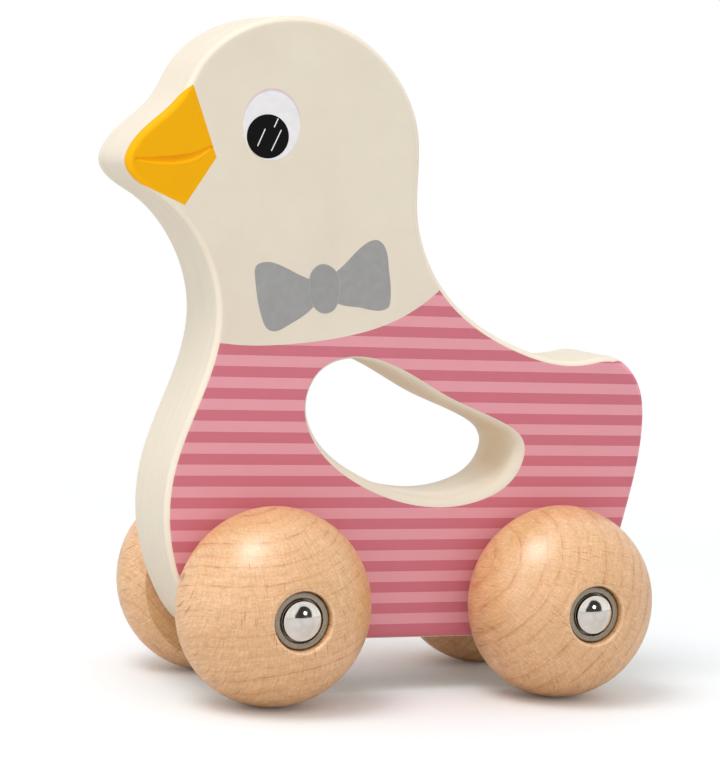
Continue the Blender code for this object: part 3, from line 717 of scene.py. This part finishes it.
def add_wheel(end, side_name, side):
    """A beech wheel: a full dome outside, a flat hub inside and a counterbore for the cap."""
    node = f"{end}_{side_name}_wheel"
    axle, radius, hub, rim = station(node)
    tread = hub + WHEEL_INNER_WIDTH
    hub_radius = radius - WHEEL_INNER_ROUND
    inner_crown = WHEEL_INNER_WIDTH / math.sqrt(1 - (hub_radius / radius) ** 2)
    mouth = COUNTERBORE_RADIUS + COUNTERBORE_ROUND
    crown = (rim - tread) / math.sqrt(1 - (mouth / radius) ** 2)
    inner_stop = math.degrees(math.asin(WHEEL_INNER_WIDTH / inner_crown))
    outer_stop = math.degrees(math.asin((rim - tread) / crown))
    floor = rim - COUNTERBORE_DEPTH
    profile = [(AXLE_HOLE_RADIUS, floor), (AXLE_HOLE_RADIUS, hub)]
    profile += arc((0, tread), (radius, inner_crown), -inner_stop, 0, WHEEL_RINGS // 3)
    profile += arc((0, tread), (radius, crown), 0, outer_stop, WHEEL_RINGS)[1:]
    profile += arc((mouth, rim - COUNTERBORE_ROUND), [COUNTERBORE_ROUND] * 2, 100, 180, 5)
    profile += [(COUNTERBORE_RADIUS, floor)]
    middle = Vector((axle.x, side * tread, axle.z))
    mesh = turned_mesh("wheel", [(r, y - tread) for r, y in profile], side, WHEEL_SEGMENTS)
    beech = lacquered_beech(f"lacquered_beech_{end}_{side_name}", *PITH[f"{end}_{side_name}"])
    attach(add_piece(f"beech_{node}", mesh, beech, middle), node, [node])


def add_cap(end, side_name, side, chrome):
    """A pressed cap: a rolled foot, a short skirt and a low polished dome, hollow inside."""
    node = f"{end}_{side_name}_cap"
    axle, foot, base, top = station(node)
    outer, dome = foot - CAP_FLANGE, top - base - CAP_SKIRT
    fillet = CAP_FLANGE / 2
    profile = [(outer - CAP_WALL, 0), (foot - fillet, 0)]
    profile += arc((foot - fillet, CAP_WALL / 2), (fillet, CAP_WALL / 2), -90, 90, 8)[1:]
    profile += arc((outer + fillet, CAP_WALL + fillet), [fillet] * 2, 270, 180, 5)[1:]
    profile += low_dome(outer, CAP_SKIRT, dome)
    profile += reversed(low_dome(outer - CAP_WALL, CAP_SKIRT, dome - CAP_WALL))
    mesh = turned_mesh("cap", profile, side, CAP_SEGMENTS)
    piece = add_piece(f"pressed_{node}", mesh, chrome, (axle.x, side * base, axle.z))
    attach(piece, f"{end}_axle", [node])


def add_washer(end, side_name, side, zinc):
    """A cupped washer: a flat bottom under the cap and a softly rolled lip round its foot."""
    node = f"{end}_{side_name}_washer"
    axle, radius, base, top = station(node)
    height, lip = top - base, radius - WASHER_LIP_WIDTH
    profile = [(AXLE_HOLE_RADIUS, WASHER_THICKNESS), (AXLE_HOLE_RADIUS, 0)]
    profile += arc((radius - SMALL_ROUND, SMALL_ROUND), [SMALL_ROUND] * 2, -90, 0, 5)
    profile += arc((radius - LIP_ROUND, height - LIP_ROUND), [LIP_ROUND] * 2, 0, 90, 7)
    profile += arc((lip + LIP_ROUND, height - LIP_ROUND), [LIP_ROUND] * 2, 90, 180, 7)
    profile += [(lip, WASHER_THICKNESS)]
    mesh = turned_mesh("washer", profile, side, CAP_SEGMENTS)
    piece = add_piece(f"cupped_{node}", mesh, zinc, (axle.x, side * base, axle.z))
    attach(piece, f"{end}_axle", [node])


def add_running_gear():
    """The wheels and the hardware that shows, and finishes for the rods, spacers and clips."""
    chrome = steel("polished_steel", "#E4DED6", 0.08, 0.03, 0.002, CAP_SKIRT)
    zinc = steel("dull_zinc_plate", "#A39889", 0.32, 0.08, 0.0006)
    rod = steel("drawn_bright_steel", "#C9C9C7", 0.30, 0.06, 0.001)
    spring = steel("oiled_spring_steel", "#7E8084", 0.35, 0.06, 0.0008)
    for end in ENDS:
        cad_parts[f"{end}_axle"].data.materials[0] = rod
        for side_name, side in SIDES.items():
            add_wheel(end, side_name, side)
            add_cap(end, side_name, side, chrome)
            add_washer(end, side_name, side, zinc)
            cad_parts[f"{end}_{side_name}_spacer"].data.materials[0] = zinc
            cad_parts[f"{end}_{side_name}_clip"].data.materials[0] = spring


def seen_share(owner, *ways):
    """1 for what the camera sees straight or in other ways, and 0 for light that falls on the toy."""
    path = add(owner, "LightPath").outputs
    seen = path["Is Camera Ray"]
    for way in ways:
        seen = add(owner, "Math", {0: seen, 1: path[f"Is {way} Ray"]}, operation="MAXIMUM").outputs[0]
    return seen


def add_camera():
    """A long lens in front of the bird's left side, slightly tilted."""
    camera = bpy.data.objects.new("camera", bpy.data.cameras.new("camera"))
    bpy.context.scene.collection.objects.link(camera)
    camera.data.lens = CAMERA_LENS
    camera.matrix_world = (Matrix.Translation(CAMERA_PLACE) @ Matrix.Rotation(CAMERA_AZIMUTH, 4, "Z")
                           @ Matrix.Rotation(math.pi / 2 - CAMERA_ELEVATION, 4, "X")
                           @ Matrix.Rotation(CAMERA_ROLL, 4, "Z"))
    bpy.context.scene.camera = camera


def add_floor():
    """A white paper floor that shows the toy's shadow and brightens to plain white away from it."""
    bm = bmesh.new()
    bmesh.ops.create_grid(bm, x_segments=1, y_segments=1, size=FLOOR_HALF_WIDTH)
    m, shader = finish_material("white_paper", {"Roughness": 0.9, "Specular IOR Level": 0.1})
    nodes = m.node_tree.nodes
    seen = seen_share(m, "Transmission")
    paper = add(m, "Mix", {FACTOR: seen, FIRST: linear("#E0E0E0"), SECOND: linear("#FAFDFF")},
                data_type="RGBA").outputs[RESULT]
    feed(m, shader["Base Color"], paper)
    place = add(m, "TexCoord").outputs["Object"]
    away = add(m, "VectorMath", {0: place}, operation="LENGTH").outputs["Value"]
    white = add(m, "MapRange", {0: away, 1: PAPER_SHADES[0], 2: PAPER_SHADES[1], 3: PAPER_LIFT},
                interpolation_type="SMOOTHSTEP").outputs[0]
    white = add(m, "Math", {0: white, 1: seen}, operation="MULTIPLY").outputs[0]
    plain = add(m, "Emission", {"Color": (1, 1, 1, 1)}).outputs[0]
    surface = add(m, "MixShader", {0: white, 1: nodes["Principled BSDF"].outputs[0], 2: plain}).outputs[0]
    m.node_tree.links.new(surface, nodes["Material Output"].inputs["Surface"])
    add_piece("floor", to_mesh("floor", bm), m)


def add_lamp(name, place, size, watts):
    """A soft round lamp that points at the middle of the toy."""
    lamp = bpy.data.lights.new(name, "AREA")
    lamp.shape, lamp.size, lamp.energy = "DISK", size, watts
    holder = bpy.data.objects.new(name, lamp)
    bpy.context.scene.collection.objects.link(holder)
    middle = (cad_box[0] + cad_box[1]) / 2
    holder.location = place
    holder.rotation_euler = (middle - Vector(place)).to_track_quat("-Z", "Y").to_euler()


def add_light():
    """A white room with a dark patch in front, soft lamps above and on the left, and a small one in front."""
    world = bpy.data.worlds.new("white_room")
    bpy.context.scene.world = world
    world.use_nodes = True
    room = world.node_tree.nodes["Background"]
    seen = seen_share(world, "Glossy", "Transmission")
    strength = add(world, "MapRange", {0: seen, 3: ROOM_LIGHT, 4: 1.0}).outputs[0]

    # Polished metal mirrors the dark part of the room
    toward = add(world, "TexCoord").outputs["Generated"]
    dark = add(world, "VectorMath", {0: toward, 1: DARK_MIDDLE}, operation="DOT_PRODUCT").outputs["Value"]
    dark = add(world, "MapRange", {0: dark, 1: DARK_EDGE[0], 2: DARK_EDGE[1]}).outputs[0]
    slope = add(world, "VectorMath", {0: toward, 1: DARK_SLOPE}, operation="DOT_PRODUCT").outputs["Value"]
    slope = add(world, "MapRange", {0: slope, 1: DARK_SLOPE_EDGE[0], 2: DARK_SLOPE_EDGE[1]}).outputs[0]
    dark = add(world, "Math", {0: dark, 1: slope}, operation="MULTIPLY").outputs[0]
    mirrored = add(world, "LightPath").outputs["Is Glossy Ray"]
    dark = add(world, "Math", {0: dark, 1: mirrored}, operation="MULTIPLY").outputs[0]
    shade = add(world, "MapRange", {0: dark, 3: 1.0, 4: DARK_SHADE}).outputs[0]
    strength = add(world, "Math", {0: strength, 1: shade}, operation="MULTIPLY").outputs[0]
    room.inputs["Color"].default_value = (1, 1, 1, 1)
    world.node_tree.links.new(strength, room.inputs["Strength"])

    for name, (place, size, watts) in LAMPS.items():
        add_lamp(name, place, size, watts)
    bpy.context.scene.view_settings.view_transform = "Standard"


add_board()
add_print()
add_running_gear()
add_camera()
add_floor()
add_light()
